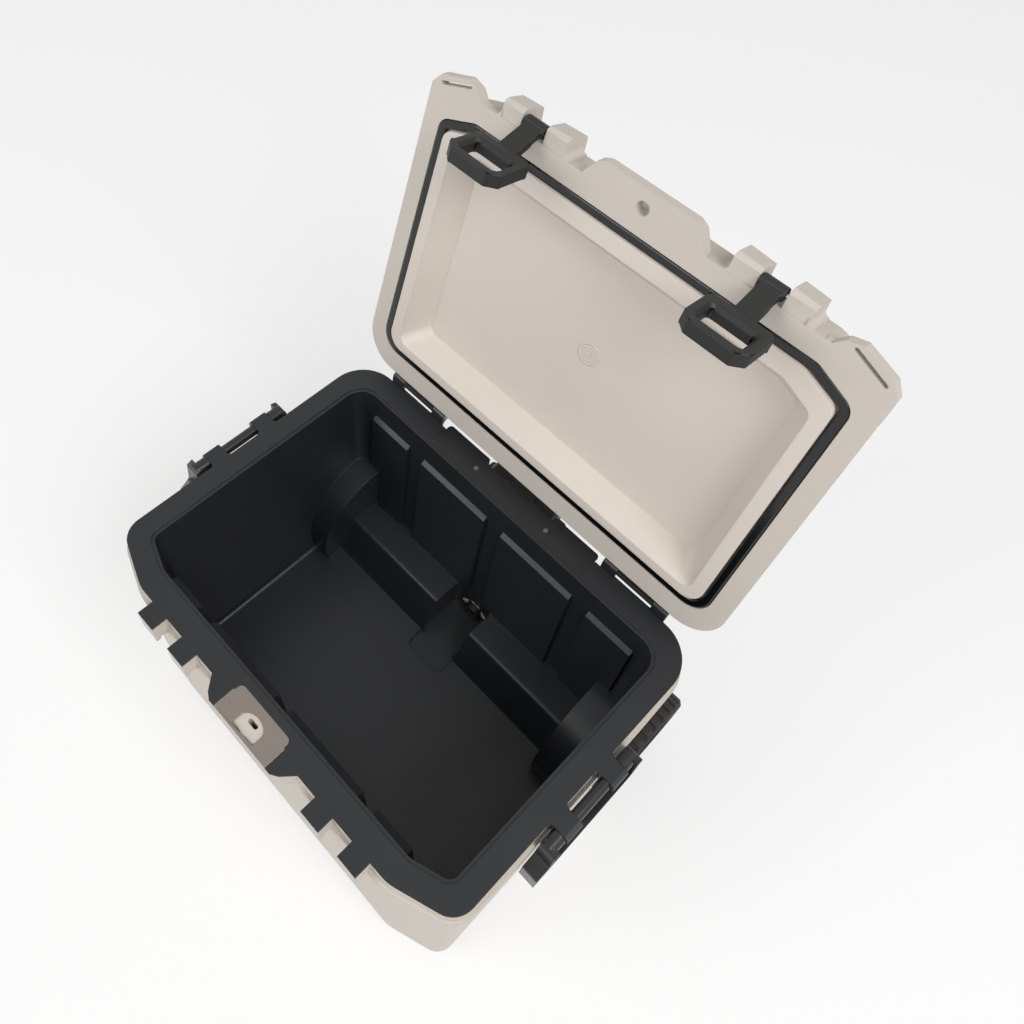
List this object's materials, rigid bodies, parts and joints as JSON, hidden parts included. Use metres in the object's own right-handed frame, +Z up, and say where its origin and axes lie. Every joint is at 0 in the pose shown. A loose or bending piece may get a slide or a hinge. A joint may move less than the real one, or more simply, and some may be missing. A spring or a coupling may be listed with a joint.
{
  "type": "rolling cooler",
  "caption": "Wheeled hard ice chest with a hinged foam-filled lid, rubber draw latches, side carrying handles and a telescoping pull handle at the back.",
  "frame": {"origin": "centre of the bounding box's base, on the ground, with the lid open", "axes": "+Z up; +Y towards the back, where the lid's hinges and the pull handle are; +X to the right seen from the front"},
  "size_m": [0.722, 0.673, 0.9123],
  "materials": {
    "pale_shell": "satin",
    "charcoal_liner": "gloss",
    "black_plastic": "satin",
    "handle_gloss": "gloss",
    "foam": "matte",
    "latch_rubber": "matte",
    "gasket_rubber": "gloss",
    "foot_rubber": "matte",
    "tyre_rubber": "matte",
    "steel": "brushed",
    "zinc_steel": "satin",
    "tube_aluminium": "anodised"
  },
  "bodies": {
    "cooler": {"body_shell": "pale_shell", "liner": "charcoal_liner", "body_insulation": "foam", "lock_plate": "steel", "lock_plate_screws": "steel", "drain_fitting": "black_plastic", "drain_washer": "foot_rubber", "front_foot_left": "foot_rubber", "front_foot_right": "foot_rubber", "axle": "zinc_steel", "axle_saddles": "black_plastic", "axle_saddle_screws": "zinc_steel", "axle_nuts": "zinc_steel", "hinge_leaf_body_left": "black_plastic", "hinge_leaf_body_right": "black_plastic", "hinge_pin_left": "zinc_steel", "hinge_pin_right": "zinc_steel", "hinge_screws_body": "zinc_steel", "handle_plate": "black_plastic", "handle_plate_screws": "zinc_steel", "outer_tube_left": "tube_aluminium", "outer_tube_right": "tube_aluminium", "lower_bracket": "black_plastic", "lower_bracket_screws": "zinc_steel"},
    "lid": {"lid_shell": "pale_shell", "lid_inner_panel": "pale_shell", "lid_insulation": "foam", "lid_gasket": "gasket_rubber", "lid_foam_plug": "foam", "hinge_leaf_lid_left": "black_plastic", "hinge_leaf_lid_right": "black_plastic", "hinge_screws_lid": "zinc_steel"},
    "latch_pin_left": {"latch_pin_left": "zinc_steel"},
    "latch_pin_right": {"latch_pin_right": "zinc_steel"},
    "latch_left": {"latch_left": "latch_rubber"},
    "latch_right": {"latch_right": "latch_rubber"},
    "side_handle_left": {"side_handle_left": "handle_gloss", "side_pivot_left": "handle_gloss"},
    "side_handle_right": {"side_handle_right": "handle_gloss", "side_pivot_right": "handle_gloss"},
    "wheel_left": {"wheel_hub_left": "black_plastic", "tyre_left": "tyre_rubber", "wheel_cap_left": "black_plastic"},
    "wheel_right": {"wheel_hub_right": "black_plastic", "tyre_right": "tyre_rubber", "wheel_cap_right": "black_plastic"},
    "drain_cap": {"drain_cap": "black_plastic"},
    "middle_stage": {"middle_tube_left": "tube_aluminium", "middle_tube_right": "tube_aluminium"},
    "pull_handle": {"inner_tube_left": "tube_aluminium", "inner_tube_right": "tube_aluminium", "pull_grip": "black_plastic"},
    "release_button": {"release_button": "black_plastic", "release_rods": "zinc_steel"}
  },
  "joints": [
    {"name": "lid_hinge", "type": "hinge", "parent": "cooler", "child": "lid", "pos_m": [0, 0.1727, 0.4112], "axis": [1, 0, 0], "range_deg": [0, 104.7]},
    {"name": "latch_swing_left", "type": "hinge", "parent": "lid", "child": "latch_pin_left", "pos_m": [-0.1671, 0.29409, 0.89441], "axis": [-1, 0, 0], "range_deg": [0, 51]},
    {"name": "latch_pull_left", "type": "hinge", "parent": "latch_pin_left", "child": "latch_left", "pos_m": [-0.1671, 0.29409, 0.89441], "axis": [1, 0, 0], "range_deg": [-95, 22]},
    {"name": "latch_swing_right", "type": "hinge", "parent": "lid", "child": "latch_pin_right", "pos_m": [0.1671, 0.29409, 0.89441], "axis": [-1, 0, 0], "range_deg": [0, 51]},
    {"name": "latch_pull_right", "type": "hinge", "parent": "latch_pin_right", "child": "latch_right", "pos_m": [0.1671, 0.29409, 0.89441], "axis": [1, 0, 0], "range_deg": [-95, 22]},
    {"name": "side_handle_left", "type": "hinge", "parent": "cooler", "child": "side_handle_left", "pos_m": [-0.346, -0.0745, 0.39], "axis": [0, 1, 0], "range_deg": [0, 95]},
    {"name": "side_handle_right", "type": "hinge", "parent": "cooler", "child": "side_handle_right", "pos_m": [0.346, -0.0745, 0.39], "axis": [0, -1, 0], "range_deg": [0, 95]},
    {"name": "wheel_left", "type": "hinge", "parent": "cooler", "child": "wheel_left", "pos_m": [-0.32, 0.1285, 0.095], "axis": [1, 0, 0], "continuous": true},
    {"name": "wheel_right", "type": "hinge", "parent": "cooler", "child": "wheel_right", "pos_m": [0.32, 0.1285, 0.095], "axis": [1, 0, 0], "continuous": true},
    {"name": "drain_cap_turn", "type": "hinge", "parent": "cooler", "child": "drain_cap", "pos_m": [0, 0.1305, 0.062], "axis": [0, 1, 0], "range_deg": [0, 360]},
    {"name": "middle_stage_slide", "type": "slide", "parent": "cooler", "child": "middle_stage", "axis": [0, 0, 1], "range_m": [0, 0.014]},
    {"name": "pull_handle_slide", "type": "slide", "parent": "middle_stage", "child": "pull_handle", "axis": [0, 0, 1], "range_m": [0, 0.014]},
    {"name": "release_button_press", "type": "slide", "parent": "pull_handle", "child": "release_button", "axis": [0, 0, -1], "range_m": [0, 0.002], "stiffness_N_per_m": 800}
  ],
  "couplings": [
    {"joint": "latch_swing_left", "follows": "lid_hinge", "ratio": 0.47755},
    {"joint": "latch_swing_right", "follows": "lid_hinge", "ratio": 0.47755},
    {"joint": "middle_stage_slide", "follows": "pull_handle_slide", "ratio": 1}
  ]
}
